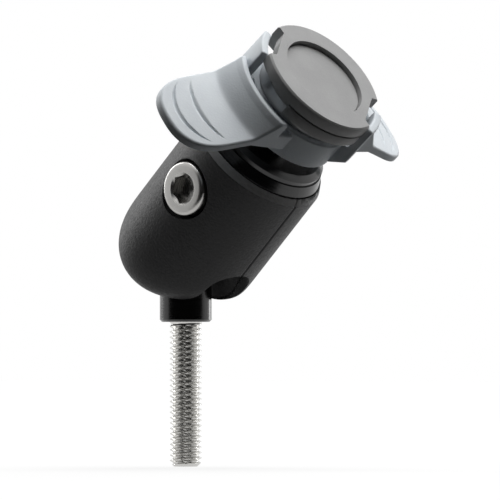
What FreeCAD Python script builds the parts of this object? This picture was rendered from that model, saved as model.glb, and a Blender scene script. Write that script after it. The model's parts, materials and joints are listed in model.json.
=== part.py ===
import FreeCAD, Part
import math
import os

# A clamp-arm phone mount in millimetres. A fully threaded stud points down from a ball collar, a split
# two-half arm grips the ball, and a swivelling head on a second ball carries a twist-lock puck with its
# release lever. The origin is the centre of the collar's lower face and +Z runs up along the stud.
# The arm leans towards +X, its halves meet in the XZ plane, and the clamp screw's head faces -Y.

# --- stud and ball collar ---------------------------------------------------------------------------
THREAD_DIAMETER = 6.0
THREAD_PITCH = 1.0
THREAD_DEPTH = 0.6134        # times the pitch
STUD_REACH = 27.0            # threaded length below the collar
STUD_TIP_CHAMFER = 0.8
STUD_SHANK_DIAMETER = 5.5    # plain length inside the collar
STUD_HEAD_DIAMETER = 10.0
STUD_HEAD_HEIGHT = 4.0
STUD_HEAD_CLEARANCE = 0.1
STUD_SOCKET_FLATS = 4.0
STUD_SOCKET_DEPTH = 2.3
SCREW_HOLE_CLEARANCE = 0.2   # radial, round every M6 shank
COLLAR_DIAMETER = 9.7
COLLAR_CHAMFER = 0.4
BALL_DIAMETER = 13.5
BALL_HEIGHT = 13.3           # ball centre above the collar's lower face
HEAD_BELOW_BALL_CENTRE = 0.3
BALL_CLEARANCE = 0.1         # radial, inside the arm's socket

# --- arm ----------------------------------------------------------------------------------------------
ARM_TILT = 47.0              # degrees from +Z towards +X
ARM_RADIUS = 13.4
END_CENTRE = 6.1             # centre of the arm's round end, above the ball centre
END_CORNER_RADIUS = 5.5
END_SPHERE_RADIUS = 16.9     # takes the sharp ends off the round end's crossing edges
SPLIT_GAP = 0.1              # between the two halves
SLOT_CLEARANCE = 0.3
SLOT_TOP = 7.1
RIM_CHAMFER_WIDTH = 0.65
RIM_CHAMFER_HEIGHT = 1.4

CLAMP_HEIGHT = 16.3          # clamp screw axis above the ball centre
CLAMP_HEAD_DIAMETER = 10.0
CLAMP_HEAD_HEIGHT = 6.0
CLAMP_HEAD_SINK = -0.15      # how far the head's top lies under the arm's side
CLAMP_SOCKET_FLATS = 5.0
CLAMP_SOCKET_DEPTH = 3.0
CLAMP_SCREW_LENGTH = 20.0
COUNTERBORE_GAP = 0.65       # round the clamp screw's head
WASHER_MARGIN = 0.45         # how far the washer stands out past the head
WASHER_THICKNESS = 1.6
NUT_SLEEVE_DIAMETER = 8.4
NUT_SLEEVE_START = 5.6
NUT_FLANGE_DIAMETER = 10.6
NUT_FLANGE_THICKNESS = 2.4
NUT_FLATS = 8.8
NUT_CLEARANCE = 0.1
NUT_SINK = 0.35              # how far the nut's flange lies under the arm's side
PIN_DIAMETER = 3.0
PIN_LENGTH = 10.0
PIN_OFFSET = 9.2             # from the arm's axis
PIN_BELOW_CLAMP = 3.6
OPENING_SPRING_RADIUS = 4.2
OPENING_SPRING_WIRE = 0.9
OPENING_SPRING_TURNS = 2.5
OPENING_SPRING_CLEARANCE = 0.2   # round the spring in its pocket
OPENING_SPRING_END_GAP = 0.05
OPENING_SPRING_POCKET = 2.6  # depth of its pocket in each half

# --- swivel ---------------------------------------------------------------------------------------------
GROOVE_WALL = 0.65           # between the counterbore and the swivel groove
SWIVEL_DISC_RADIUS = 10.0
SWIVEL_DISC_THICKNESS = 1.5
SWIVEL_GAP = 0.1
FRICTION_WASHER_THICKNESS = 0.5
SWIVEL_HUB_RADIUS = 5.0
SWIVEL_HUB_DEPTH = 1.7
SWIVEL_NECK_RADIUS = 8.2
LIP_THICKNESS = 0.7
RING_HEIGHT = 3.3
RING_STAND = 2.0             # ring above the arm's rim
RING_RADIUS = 12.4
RING_TOP_RADIUS = 11.6
OPENING_GAP = 0.2            # radial, between the ring and the arm's mouth
SEAL_SECTION = 0.9
SEAL_SINK = 0.35             # how far the seal stands inside the ring's wall
FLANGE_RADIUS = 11.35
FLANGE_THICKNESS = 1.7
FLANGE_EDGE = 0.9            # height of the flange's straight side
FLANGE_TOP_RADIUS = 10.1

# --- head pivot -----------------------------------------------------------------------------------------
PIVOT_ABOVE_FLANGE = 7.5
HEAD_BALL_DIAMETER = 9.6
HEAD_NECK_RADIUS = 3.0
HEAD_NECK_FOOT_RADIUS = 4.6
HEAD_NECK_FOOT_HEIGHT = 1.2
HEAD_LEAN = 4.9              # degrees between the head's axis and the arm's axis
HEAD_LEAN_DIRECTION = 14.0   # degrees round the arm's axis, from the downhill side towards +Y

# --- head, in heights above the pivot -------------------------------------------------------------------
PUCK_TOP = 9.0
PUCK_RADIUS = 12.6
PUCK_FLANGE_THICKNESS = 2.3
PUCK_EDGE_CHAMFER = 0.35
PUCK_SLIT = 0.35
PUCK_SLIT_DEPTH = 1.6
LOBE_HEIGHT = 2.05
LOBE_START = 26.0            # degrees after each notch's centre
LOBE_END = 109.0
PUCK_HUB_RADIUS = 9.6
RECESS_RADIUS = 8.5
RECESS_DEPTH = 1.5
NOTCH_DIRECTION = 44.0       # degrees round the head's axis, of the notch on the +Y side
NOTCH_HALF_WIDTH_OUTSIDE = 5.6
NOTCH_HALF_WIDTH_INSIDE = 3.9
NOTCH_FLOOR_RADIUS = 10.25
CAP_THICKNESS = 0.6
CAP_CLEARANCE = 0.12
PUCK_SCREW_CIRCLE = 6.4
PUCK_SCREW_DIRECTION = 45.0
PUCK_SCREW_COUNT = 4
PUCK_SCREW_DIAMETER = 2.0
PUCK_SCREW_HEAD_DIAMETER = 3.6
PUCK_SCREW_LENGTH = 6.0
PUCK_PLATE_THICKNESS = 1.6
CUP_RADIUS = 8.5
CUP_FLANGE_RADIUS = 9.6
CUP_FLANGE_THICKNESS = 2.4
CUP_BORE_CLEARANCE = 0.15
CUP_FOOT = -2.9
RETAINER_THREAD_RADIUS = 7.4
RETAINER_TOP = 0.0
RETAINER_FLANGE_THICKNESS = 1.0
RETAINER_MOUTH_RADIUS = 5.0
PAD_BOTTOM = 2.2
PAD_TOP = 5.05
PAD_SPRING_THICKNESS = 0.35
PAD_SPRING_HEIGHT = 0.75

# --- lever ----------------------------------------------------------------------------------------------
LEVER_RADIUS = 11.05
LEVER_BORE_CLEARANCE = 0.2
LEVER_TOP = 1.94
LEVER_BOTTOM = -4.0
LEVER_RIB_THICKNESS = 1.0
WING_HALF_WIDTH = 8.3
WING_TIP_CENTRE = 21.5
WING_TIP_LENGTH = 9.3
WING_THICKNESS = 1.7
WING_STEP_RADIUS = 18.2
WING_STEP_HEIGHT = -0.3
WING_TIP_HEIGHT = -4.5
GUARD_INNER_RADIUS = 14.0
GUARD_OUTER_RADIUS = 15.2
GUARD_TOP = 4.3
GUARD_FLOOR = 1.2
LUG_INNER_RADIUS = 12.1
LUG_OUTER_RADIUS = 13.7
LUG_TOP = 8.2
LUG_HALF_ANGLE = 16.0
LUG_SHIFT = 5.5              # degrees, both lugs towards the clamp screw's side
LUG_FOOT = -0.4
RETURN_SPRING_RADIUS = 9.15
RETURN_SPRING_WIRE = 0.6
RETURN_SPRING_TURNS = 2.25

# --- worked out from the above --------------------------------------------------------------------------
THREAD_RADIUS = THREAD_DIAMETER / 2
SCREW_HOLE_RADIUS = THREAD_RADIUS + SCREW_HOLE_CLEARANCE
BALL_RADIUS = BALL_DIAMETER / 2
STUD_SEAT = BALL_HEIGHT - HEAD_BELOW_BALL_CENTRE
STUD_BORE_RADIUS = STUD_HEAD_DIAMETER / 2 + STUD_HEAD_CLEARANCE
SLOT_RADIUS = COLLAR_DIAMETER / 2 + SLOT_CLEARANCE
COUNTERBORE_RADIUS = CLAMP_HEAD_DIAMETER / 2 + COUNTERBORE_GAP
WASHER_RADIUS = CLAMP_HEAD_DIAMETER / 2 + WASHER_MARGIN
CLAMP_TOP_Y = -(ARM_RADIUS - CLAMP_HEAD_SINK)
CLAMP_SEAT_Y = CLAMP_TOP_Y + CLAMP_HEAD_HEIGHT
COUNTERBORE_FLOOR_Y = CLAMP_SEAT_Y + WASHER_THICKNESS
NUT_SHOULDER_Y = ARM_RADIUS - NUT_SINK - NUT_FLANGE_THICKNESS
GROOVE_FLOOR = CLAMP_HEIGHT + COUNTERBORE_RADIUS + GROOVE_WALL
FRICTION_WASHER_FLOOR = GROOVE_FLOOR + SWIVEL_GAP / 2
DISC_FLOOR = FRICTION_WASHER_FLOOR + FRICTION_WASHER_THICKNESS + SWIVEL_GAP / 2
DISC_TOP = DISC_FLOOR + SWIVEL_DISC_THICKNESS
GROOVE_ROOF = DISC_TOP + SWIVEL_GAP
LIP_TOP = GROOVE_ROOF + LIP_THICKNESS
RING_FLOOR = LIP_TOP + SWIVEL_GAP
RING_TOP = RING_FLOOR + RING_HEIGHT
ARM_RIM = RING_TOP - RING_STAND
MOUTH_RADIUS = RING_RADIUS + OPENING_GAP
FLANGE_TOP = RING_TOP + FLANGE_THICKNESS
HEAD_PIVOT = FLANGE_TOP + PIVOT_ABOVE_FLANGE
HEAD_BALL_RADIUS = HEAD_BALL_DIAMETER / 2
PUCK_FLANGE_FLOOR = PUCK_TOP - PUCK_FLANGE_THICKNESS
LOBE_TOP = PUCK_FLANGE_FLOOR - PUCK_SLIT
LOBE_FLOOR = LOBE_TOP - LOBE_HEIGHT
RECESS_FLOOR = PUCK_TOP - RECESS_DEPTH
POCKET_TOP = RECESS_FLOOR - PUCK_PLATE_THICKNESS
CUP_TOP = LOBE_FLOOR
CUP_FLANGE_FLOOR = CUP_TOP - CUP_FLANGE_THICKNESS
CUP_BORE_RADIUS = HEAD_BALL_RADIUS + CUP_BORE_CLEARANCE
PAD_RADIUS = HEAD_BALL_RADIUS
RETAINER_FLOOR = CUP_FOOT - RETAINER_FLANGE_THICKNESS
LEVER_BORE_RADIUS = CUP_FLANGE_RADIUS + LEVER_BORE_CLEARANCE
RIB_BORE_RADIUS = CUP_RADIUS + LEVER_BORE_CLEARANCE
RIB_TOP = CUP_FLANGE_FLOOR - 0.1
RIB_FLOOR = RIB_TOP - LEVER_RIB_THICKNESS
NOTCH_DIRECTIONS = (NOTCH_DIRECTION, NOTCH_DIRECTION + 180)

AXIS = FreeCAD.Vector(0, 0, 1)
ORIGIN = FreeCAD.Vector(0, 0, 0)
STAND = FreeCAD.Placement()
ARM = FreeCAD.Placement(FreeCAD.Vector(0, 0, BALL_HEIGHT),
                        FreeCAD.Rotation(FreeCAD.Vector(0, 1, 0), ARM_TILT))
LEAN = (FreeCAD.Rotation(AXIS, HEAD_LEAN_DIRECTION)
        * FreeCAD.Rotation(FreeCAD.Vector(0, 1, 0), HEAD_LEAN)
        * FreeCAD.Rotation(AXIS, -HEAD_LEAN_DIRECTION))
HEAD = ARM * FreeCAD.Placement(FreeCAD.Vector(0, 0, HEAD_PIVOT), LEAN)

nodes = {}


def add(name, frame, *solids):
    """Keeps one node: its solids, drawn in a frame of their own, placed on the object."""
    shape = solids[0] if len(solids) == 1 else Part.makeCompound(list(solids))
    placed = shape.copy()
    placed.Placement = frame.multiply(placed.Placement)
    nodes[name] = placed


def turned(points, start=0.0, angle=360.0):
    """A solid of revolution about Z from its half outline of (radius, height) points."""
    corners = [FreeCAD.Vector(radius, 0, height) for radius, height in points]
    face = Part.Face(Part.makePolygon(corners + corners[:1]))
    face.rotate(ORIGIN, AXIS, start)
    return face.revolve(ORIGIN, AXIS, angle)


def disc(radius, low, high, x=0.0, y=0.0):
    """A cylinder along Z between two heights."""
    return Part.makeCylinder(radius, high - low, FreeCAD.Vector(x, y, low), AXIS)


def crossbar(radius, near, far, x=0.0, z=0.0):
    """A cylinder along Y between two places on Y."""
    return Part.makeCylinder(radius, far - near, FreeCAD.Vector(x, near, z), FreeCAD.Vector(0, 1, 0))


def block(low, high):
    """A box between two corners."""
    size = [b - a for a, b in zip(low, high)]
    return Part.makeBox(*size, FreeCAD.Vector(*low))


def hexagon(flats, low, high):
    """A hexagonal prism along Z, by its width across flats."""
    corner = flats / math.sqrt(3)
    points = [FreeCAD.Vector(corner * math.cos(math.radians(60 * k)),
                             corner * math.sin(math.radians(60 * k)), low) for k in range(7)]
    return Part.Face(Part.makePolygon(points)).extrude(FreeCAD.Vector(0, 0, high - low))


def along_y(shape, seat, height):
    """Turns a shape drawn along Z so that its +Z points along -Y, with its zero on the seat."""
    moved = shape.copy()
    moved.rotate(ORIGIN, FreeCAD.Vector(1, 0, 0), 90)
    moved.translate(FreeCAD.Vector(0, seat, height))
    return moved


def coil(radius, wire, low, high, turns):
    """A round-wire compression spring along Z whose wire ends just inside two heights."""
    travel = high - low - wire
    path = Part.makeHelix(travel / turns, travel, radius)
    section = Part.Wire(Part.makeCircle(wire / 2, FreeCAD.Vector(radius, 0, 0), FreeCAD.Vector(0, 1, 0)))
    spring = Part.Wire(path).makePipeShell([section], True, True)
    spring.translate(FreeCAD.Vector(0, 0, low + wire / 2))
    return spring


# --- stud and collar --------------------------------------------------------------------------------
def stem_screw():
    """The low-head M6 screw: threaded part with one groove per pitch, plain shank, socket head."""
    root = THREAD_RADIUS - THREAD_DEPTH * THREAD_PITCH
    crest = THREAD_PITCH / 8
    tip = -STUD_REACH
    outline = [(0, tip), (THREAD_RADIUS - STUD_TIP_CHAMFER, tip), (THREAD_RADIUS, tip + STUD_TIP_CHAMFER)]
    grooves = int((STUD_REACH - STUD_TIP_CHAMFER) / THREAD_PITCH) - 1
    for groove in range(grooves):
        low = tip + STUD_TIP_CHAMFER + crest + groove * THREAD_PITCH
        flank = (THREAD_PITCH - 2 * crest - crest) / 2
        outline += [(THREAD_RADIUS, low), (root, low + flank), (root, low + flank + 2 * crest),
                    (THREAD_RADIUS, low + 2 * flank + 2 * crest)]
    top = STUD_SEAT + STUD_HEAD_HEIGHT
    outline += [(THREAD_RADIUS, 0), (STUD_SHANK_DIAMETER / 2, 0), (STUD_SHANK_DIAMETER / 2, STUD_SEAT),
                (STUD_HEAD_DIAMETER / 2, STUD_SEAT), (STUD_HEAD_DIAMETER / 2, top - 0.4),
                (STUD_HEAD_DIAMETER / 2 - 0.4, top), (0, top)]
    return turned(outline).cut(hexagon(STUD_SOCKET_FLATS, top - STUD_SOCKET_DEPTH, top + 1))


def ball_collar():
    """The collar and ball in one piece, bored for the stud and cut flat above the screw's head."""
    half = COLLAR_DIAMETER / 2
    neck = turned([(0, 0), (half - COLLAR_CHAMFER, 0), (half, COLLAR_CHAMFER), (half, BALL_HEIGHT),
                   (0, BALL_HEIGHT)])
    ball = Part.makeSphere(BALL_RADIUS, FreeCAD.Vector(0, 0, BALL_HEIGHT))
    cut_height = BALL_HEIGHT + math.sqrt(BALL_RADIUS ** 2 - (STUD_BORE_RADIUS + 0.15) ** 2)
    body = neck.fuse(ball).cut(disc(BALL_RADIUS + 1, cut_height, BALL_HEIGHT + BALL_RADIUS + 1))
    body = body.cut(disc(SCREW_HOLE_RADIUS, -1, STUD_SEAT + 1))
    return body.cut(disc(STUD_BORE_RADIUS, STUD_SEAT, BALL_HEIGHT + BALL_RADIUS + 1))


# --- arm, along its own axis from the ball centre -----------------------------------------------------
def arm_solid():
    """The whole arm before it is split: a round bar whose lower end is rounded two ways."""
    low = END_CENTRE - ARM_RADIUS
    bar = turned([(0, low - 1), (ARM_RADIUS, low - 1), (ARM_RADIUS, ARM_RIM - RIM_CHAMFER_HEIGHT),
                  (ARM_RADIUS - RIM_CHAMFER_WIDTH, ARM_RIM), (0, ARM_RIM)])
    reach = ARM_RADIUS + 1
    upper = block((-reach, -reach, END_CENTRE), (reach, reach, ARM_RIM + 1))
    bar = bar.common(crossbar(ARM_RADIUS, -reach, reach, 0, END_CENTRE).fuse(upper))
    straight = ARM_RADIUS - END_CORNER_RADIUS
    shell = block((-reach, -ARM_RADIUS, low + END_CORNER_RADIUS), (reach, ARM_RADIUS, ARM_RIM + 1))
    shell = shell.fuse(block((-reach, -straight, low), (reach, straight, low + END_CORNER_RADIUS + 1)))
    for side in (-straight, straight):
        start = FreeCAD.Vector(-reach, side, low + END_CORNER_RADIUS)
        shell = shell.fuse(Part.makeCylinder(END_CORNER_RADIUS, 2 * reach, start, FreeCAD.Vector(1, 0, 0)))
    ball_limit = Part.makeSphere(END_SPHERE_RADIUS, FreeCAD.Vector(0, 0, END_CENTRE)).fuse(upper)
    return bar.common(shell).common(ball_limit).removeSplitter()


def arm_hollows():
    """Everything that is open inside the arm: ball socket, neck slot, bores, pockets and mouth."""
    reach = ARM_RADIUS + 2
    slot_centre = SLOT_TOP - SLOT_RADIUS
    low = END_CENTRE - ARM_RADIUS - 1
    slot = block((0, -SLOT_RADIUS, low), (reach, SLOT_RADIUS, slot_centre))
    upper_end = Part.makeCylinder(SLOT_RADIUS, reach, FreeCAD.Vector(0, 0, slot_centre),
                                  FreeCAD.Vector(1, 0, 0))
    socket = Part.makeSphere(BALL_RADIUS + BALL_CLEARANCE)
    pin_radius = PIN_DIAMETER / 2 + 0.01
    pin_height = CLAMP_HEIGHT - PIN_BELOW_CLAMP
    pin_end = PIN_LENGTH / 2 + 0.1
    sleeve_radius = NUT_SLEEVE_DIAMETER / 2 + NUT_CLEARANCE
    flange_radius = NUT_FLANGE_DIAMETER / 2 + NUT_CLEARANCE
    nut_flats = NUT_FLATS / 2 + NUT_CLEARANCE
    flange_pocket = crossbar(flange_radius, NUT_SHOULDER_Y, reach, 0, CLAMP_HEIGHT)
    flange_pocket = flange_pocket.common(block((-nut_flats, 0, 0), (nut_flats, reach, ARM_RIM)))
    spring_pocket = OPENING_SPRING_RADIUS + OPENING_SPRING_WIRE / 2 + OPENING_SPRING_CLEARANCE
    hub_floor = DISC_FLOOR - SWIVEL_HUB_DEPTH - 0.2
    return [
        socket, slot, upper_end, disc(SLOT_RADIUS, low, 0),
        crossbar(SCREW_HOLE_RADIUS, -reach, reach, 0, CLAMP_HEIGHT),
        crossbar(COUNTERBORE_RADIUS, -reach, COUNTERBORE_FLOOR_Y, 0, CLAMP_HEIGHT),
        crossbar(sleeve_radius, NUT_SLEEVE_START - NUT_CLEARANCE, reach, 0, CLAMP_HEIGHT), flange_pocket,
        crossbar(spring_pocket, -OPENING_SPRING_POCKET, OPENING_SPRING_POCKET, 0, CLAMP_HEIGHT),
        crossbar(pin_radius, -pin_end, pin_end, PIN_OFFSET, pin_height),
        crossbar(pin_radius, -pin_end, pin_end, -PIN_OFFSET, pin_height),
        disc(SWIVEL_HUB_RADIUS + 0.2, hub_floor, GROOVE_FLOOR + 1),
        disc(SWIVEL_DISC_RADIUS + 0.2, GROOVE_FLOOR, GROOVE_ROOF),
        disc(SWIVEL_NECK_RADIUS + 0.2, GROOVE_ROOF - 1, ARM_RIM),
        disc(MOUTH_RADIUS, LIP_TOP, ARM_RIM + 1),
    ]


def arm_half(side):
    """One half of the arm: side is -1 for the half with the screw's head, +1 for the other."""
    reach = ARM_RADIUS + 2
    near, far = sorted((side * SPLIT_GAP / 2, side * reach))
    half = arm_solid().common(block((-reach, near, -reach), (reach, far, ARM_RIM + 1)))
    return half.cut(arm_hollows())


def clamp_screw():
    """The M6 socket head screw, drawn from its tip to its head."""
    half = CLAMP_HEAD_DIAMETER / 2
    top = CLAMP_HEAD_HEIGHT
    shank = THREAD_RADIUS - 0.05
    outline = [(0, -CLAMP_SCREW_LENGTH), (shank - 0.5, -CLAMP_SCREW_LENGTH),
               (shank, 0.5 - CLAMP_SCREW_LENGTH), (shank, 0), (half, 0), (half, top - 0.5),
               (half - 0.5, top), (0, top)]
    screw = turned(outline).cut(hexagon(CLAMP_SOCKET_FLATS, top - CLAMP_SOCKET_DEPTH, top + 1))
    return along_y(screw, CLAMP_SEAT_Y, CLAMP_HEIGHT)


def clamp_nut():
    """The flanged sleeve nut in the plain half, held from turning by the flats of its flange."""
    sleeve = crossbar(NUT_SLEEVE_DIAMETER / 2, NUT_SLEEVE_START, NUT_SHOULDER_Y, 0, CLAMP_HEIGHT)
    flange_end = NUT_SHOULDER_Y + NUT_FLANGE_THICKNESS
    flange = crossbar(NUT_FLANGE_DIAMETER / 2, NUT_SHOULDER_Y, flange_end, 0, CLAMP_HEIGHT)
    flats = block((-NUT_FLATS / 2, 0, 0), (NUT_FLATS / 2, flange_end + 1, ARM_RIM))
    bore = crossbar(THREAD_RADIUS, 0, flange_end + 1, 0, CLAMP_HEIGHT)
    return sleeve.fuse(flange.common(flats)).cut(bore)


def clamp_washer():
    """The narrow washer under the clamp screw's head."""
    ring = crossbar(WASHER_RADIUS, CLAMP_SEAT_Y, COUNTERBORE_FLOOR_Y, 0, CLAMP_HEIGHT)
    return ring.cut(crossbar(SCREW_HOLE_RADIUS, -ARM_RADIUS, 0, 0, CLAMP_HEIGHT))


def locating_pins():
    """The two dowels that keep the halves in line."""
    height = CLAMP_HEIGHT - PIN_BELOW_CLAMP
    return [crossbar(PIN_DIAMETER / 2, -PIN_LENGTH / 2, PIN_LENGTH / 2, x, height)
            for x in (-PIN_OFFSET, PIN_OFFSET)]


def opening_spring():
    """The spring round the clamp screw that opens the halves when the screw is loose."""
    reach = OPENING_SPRING_POCKET - OPENING_SPRING_END_GAP
    spring = coil(OPENING_SPRING_RADIUS, OPENING_SPRING_WIRE, -reach, reach, OPENING_SPRING_TURNS)
    return along_y(spring, 0, CLAMP_HEIGHT)


def friction_washer():
    """The plastic washer that the swivel turns on."""
    top = FRICTION_WASHER_FLOOR + FRICTION_WASHER_THICKNESS
    inner = SWIVEL_HUB_RADIUS + 0.4
    return disc(SWIVEL_DISC_RADIUS, FRICTION_WASHER_FLOOR, top).cut(disc(inner, 0, top + 1))


def swivel_base():
    """The disc that the two halves hold in their groove, with its hub, neck and threaded bore."""
    hub_floor = DISC_FLOOR - SWIVEL_HUB_DEPTH
    bore = THREAD_RADIUS + 0.05
    return turned([(bore, hub_floor), (SWIVEL_HUB_RADIUS, hub_floor), (SWIVEL_HUB_RADIUS, DISC_FLOOR),
                   (SWIVEL_DISC_RADIUS, DISC_FLOOR), (SWIVEL_DISC_RADIUS, DISC_TOP),
                   (SWIVEL_NECK_RADIUS, DISC_TOP), (SWIVEL_NECK_RADIUS, RING_FLOOR), (bore, RING_FLOOR)])


def seal_height():
    """The middle of the rim seal: half way between the ring's lower face and the arm's rim."""
    return (RING_FLOOR + ARM_RIM) / 2


def swivel_ring():
    """The chamfered ring in the arm's mouth, with the groove of its seal."""
    outline = [(SCREW_HOLE_RADIUS, RING_FLOOR), (RING_RADIUS, RING_FLOOR), (RING_RADIUS, ARM_RIM + 0.2),
               (RING_TOP_RADIUS, RING_TOP), (SCREW_HOLE_RADIUS, RING_TOP)]
    seal = RING_RADIUS - SEAL_SINK
    return turned(outline).cut(Part.makeTorus(seal, SEAL_SECTION / 2 + 0.02,
                                              FreeCAD.Vector(0, 0, seal_height()), AXIS))


def rim_seal():
    """The rubber ring between the swivel ring and the arm's mouth."""
    middle = FreeCAD.Vector(0, 0, seal_height())
    return Part.makeTorus(RING_RADIUS - SEAL_SINK, SEAL_SECTION / 2, middle, AXIS)


def ball_stud():
    """The screw-in stud: threaded tail, visible flange, neck and the head's ball."""
    tail = DISC_FLOOR - SWIVEL_HUB_DEPTH + 0.1
    foot = FLANGE_TOP + HEAD_NECK_FOOT_HEIGHT
    turned_part = turned([
        (0, tail), (THREAD_RADIUS, tail), (THREAD_RADIUS, RING_TOP), (FLANGE_RADIUS, RING_TOP),
        (FLANGE_RADIUS, RING_TOP + FLANGE_EDGE), (FLANGE_TOP_RADIUS, FLANGE_TOP),
        (HEAD_NECK_FOOT_RADIUS, FLANGE_TOP), (HEAD_NECK_RADIUS, foot), (HEAD_NECK_RADIUS, HEAD_PIVOT),
        (0, HEAD_PIVOT)])
    return turned_part.fuse(Part.makeSphere(HEAD_BALL_RADIUS, FreeCAD.Vector(0, 0, HEAD_PIVOT)))


# --- head, along its own axis from the pivot ------------------------------------------------------------
def round_the_screws(shape_of_one):
    """One copy of a shape for each puck screw, turned to its place on the screw circle."""
    copies = []
    for index in range(PUCK_SCREW_COUNT):
        one = shape_of_one()
        one.translate(FreeCAD.Vector(PUCK_SCREW_CIRCLE, 0, 0))
        one.rotate(ORIGIN, AXIS, PUCK_SCREW_DIRECTION + 360 * index / PUCK_SCREW_COUNT)
        copies.append(one)
    return copies


def puck_screw(clearance=0.0):
    """One countersunk screw below the recess floor; with a clearance, the hole that it needs."""
    thread = PUCK_SCREW_DIAMETER / 2 + clearance
    head = PUCK_SCREW_HEAD_DIAMETER / 2 + clearance
    top = RECESS_FLOOR - (0.05 if clearance == 0 else -0.5)
    rim = RECESS_FLOOR - 0.3
    low = RECESS_FLOOR - 0.05 - PUCK_SCREW_LENGTH - (0.2 if clearance else 0)
    cone_end = rim - (head - thread)
    return turned([(0, low), (thread, low), (thread, cone_end), (head, rim), (head, top), (0, top)])


def notch_cutter(direction):
    """The tapered notch in the puck's edge that a lug of the lever stands in."""
    outside = PUCK_RADIUS + 3
    slope = (NOTCH_HALF_WIDTH_OUTSIDE - NOTCH_HALF_WIDTH_INSIDE) / (PUCK_RADIUS - NOTCH_FLOOR_RADIUS)
    half_out = NOTCH_HALF_WIDTH_OUTSIDE + 3 * slope
    points = [(NOTCH_FLOOR_RADIUS, -NOTCH_HALF_WIDTH_INSIDE), (outside, -half_out), (outside, half_out),
              (NOTCH_FLOOR_RADIUS, NOTCH_HALF_WIDTH_INSIDE)]
    corners = [FreeCAD.Vector(x, y, LOBE_FLOOR - 1) for x, y in points]
    face = Part.Face(Part.makePolygon(corners + corners[:1]))
    cutter = face.extrude(FreeCAD.Vector(0, 0, PUCK_TOP - LOBE_FLOOR + 2))
    cutter.rotate(ORIGIN, AXIS, direction)
    return cutter


def puck():
    """The twist-lock plate: a flange with two notches over two locking lobes, on a round hub."""
    edge = PUCK_RADIUS - PUCK_EDGE_CHAMFER
    body = turned([(0, LOBE_FLOOR), (PUCK_HUB_RADIUS, LOBE_FLOOR), (PUCK_HUB_RADIUS, PUCK_FLANGE_FLOOR),
                   (PUCK_RADIUS, PUCK_FLANGE_FLOOR), (PUCK_RADIUS, PUCK_TOP - PUCK_EDGE_CHAMFER),
                   (edge, PUCK_TOP), (0, PUCK_TOP)])
    inner = PUCK_HUB_RADIUS - 0.5
    lobe = [(inner, LOBE_FLOOR), (PUCK_RADIUS, LOBE_FLOOR), (PUCK_RADIUS, LOBE_TOP),
            (PUCK_RADIUS - PUCK_SLIT_DEPTH, LOBE_TOP), (PUCK_RADIUS - PUCK_SLIT_DEPTH, PUCK_FLANGE_FLOOR + 0.2),
            (inner, PUCK_FLANGE_FLOOR + 0.2)]
    for direction in NOTCH_DIRECTIONS:
        body = body.fuse(turned(lobe, direction - LOBE_END, LOBE_END - LOBE_START))
    for direction in NOTCH_DIRECTIONS:
        body = body.cut(notch_cutter(direction))
    body = body.cut(disc(RECESS_RADIUS, RECESS_FLOOR, PUCK_TOP + 1))
    body = body.cut(disc(CUP_BORE_RADIUS, LOBE_FLOOR - 1, POCKET_TOP))
    return body.cut(round_the_screws(lambda: puck_screw(0.1)))


def centre_cap():
    """The thin disc that hides the puck's screws."""
    radius = RECESS_RADIUS - CAP_CLEARANCE
    top = RECESS_FLOOR + CAP_THICKNESS
    return turned([(0, RECESS_FLOOR), (radius, RECESS_FLOOR), (radius, top - 0.15), (radius - 0.15, top),
                   (0, top)])


def socket_cup():
    """The fixed housing of the head's ball, bored through and tapped for the puck's screws."""
    body = turned([(0, CUP_FOOT), (CUP_RADIUS, CUP_FOOT), (CUP_RADIUS, CUP_FLANGE_FLOOR),
                   (CUP_FLANGE_RADIUS, CUP_FLANGE_FLOOR), (CUP_FLANGE_RADIUS, CUP_TOP), (0, CUP_TOP)])
    body = body.cut(disc(CUP_BORE_RADIUS, CUP_FOOT - 1, CUP_TOP + 1))
    body = body.cut(disc(RETAINER_THREAD_RADIUS, CUP_FOOT - 1, RETAINER_TOP + 0.1))
    return body.cut(round_the_screws(lambda: puck_screw(0.02)))


def socket_retainer():
    """The screwed ring that the ball rests in, with a flared mouth for the neck to lean in."""
    outer = RETAINER_THREAD_RADIUS - 0.05
    seat_end = -HEAD_BALL_RADIUS * 0.55
    mouth = math.sqrt(HEAD_BALL_RADIUS ** 2 - seat_end ** 2) + 0.15
    body = turned([(mouth, seat_end), (RETAINER_MOUTH_RADIUS, RETAINER_FLOOR),
                   (CUP_FLANGE_RADIUS, RETAINER_FLOOR), (CUP_FLANGE_RADIUS, CUP_FOOT), (outer, CUP_FOOT),
                   (outer, RETAINER_TOP), (mouth, RETAINER_TOP)])
    return body.cut(Part.makeSphere(HEAD_BALL_RADIUS + 0.05))


def ball_pad():
    """The plastic pad that presses on the ball's crown."""
    body = disc(PAD_RADIUS, PAD_BOTTOM, PAD_TOP)
    return body.cut(Part.makeSphere(HEAD_BALL_RADIUS + 0.05))


def pad_spring():
    """The cone-shaped spring washer that loads the pad."""
    low = PAD_TOP + 0.03
    high = low + PAD_SPRING_HEIGHT - PAD_SPRING_THICKNESS - 0.15
    outer = PAD_RADIUS - 0.3
    inner = PAD_RADIUS * 0.45
    return turned([(inner, high), (outer, low), (outer, low + PAD_SPRING_THICKNESS),
                   (inner, high + PAD_SPRING_THICKNESS)])


# --- lever --------------------------------------------------------------------------------------------
def wing_outline():
    """A prism over both wings: straight sides and a half-ellipse tip at each end."""
    low, high = LEVER_BOTTOM - 5, GUARD_TOP + 1
    centre, half = WING_TIP_CENTRE, WING_HALF_WIDTH
    bar = block((-centre, -half, low), (centre, half, high))
    for side in (-1, 1):
        ellipse = Part.Ellipse(FreeCAD.Vector(side * centre, 0, low), WING_TIP_LENGTH, half)
        tip = Part.Face(Part.Wire(ellipse.toShape())).extrude(FreeCAD.Vector(0, 0, high - low))
        bar = bar.fuse(tip)
    bar.rotate(ORIGIN, AXIS, 90)
    return bar


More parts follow.
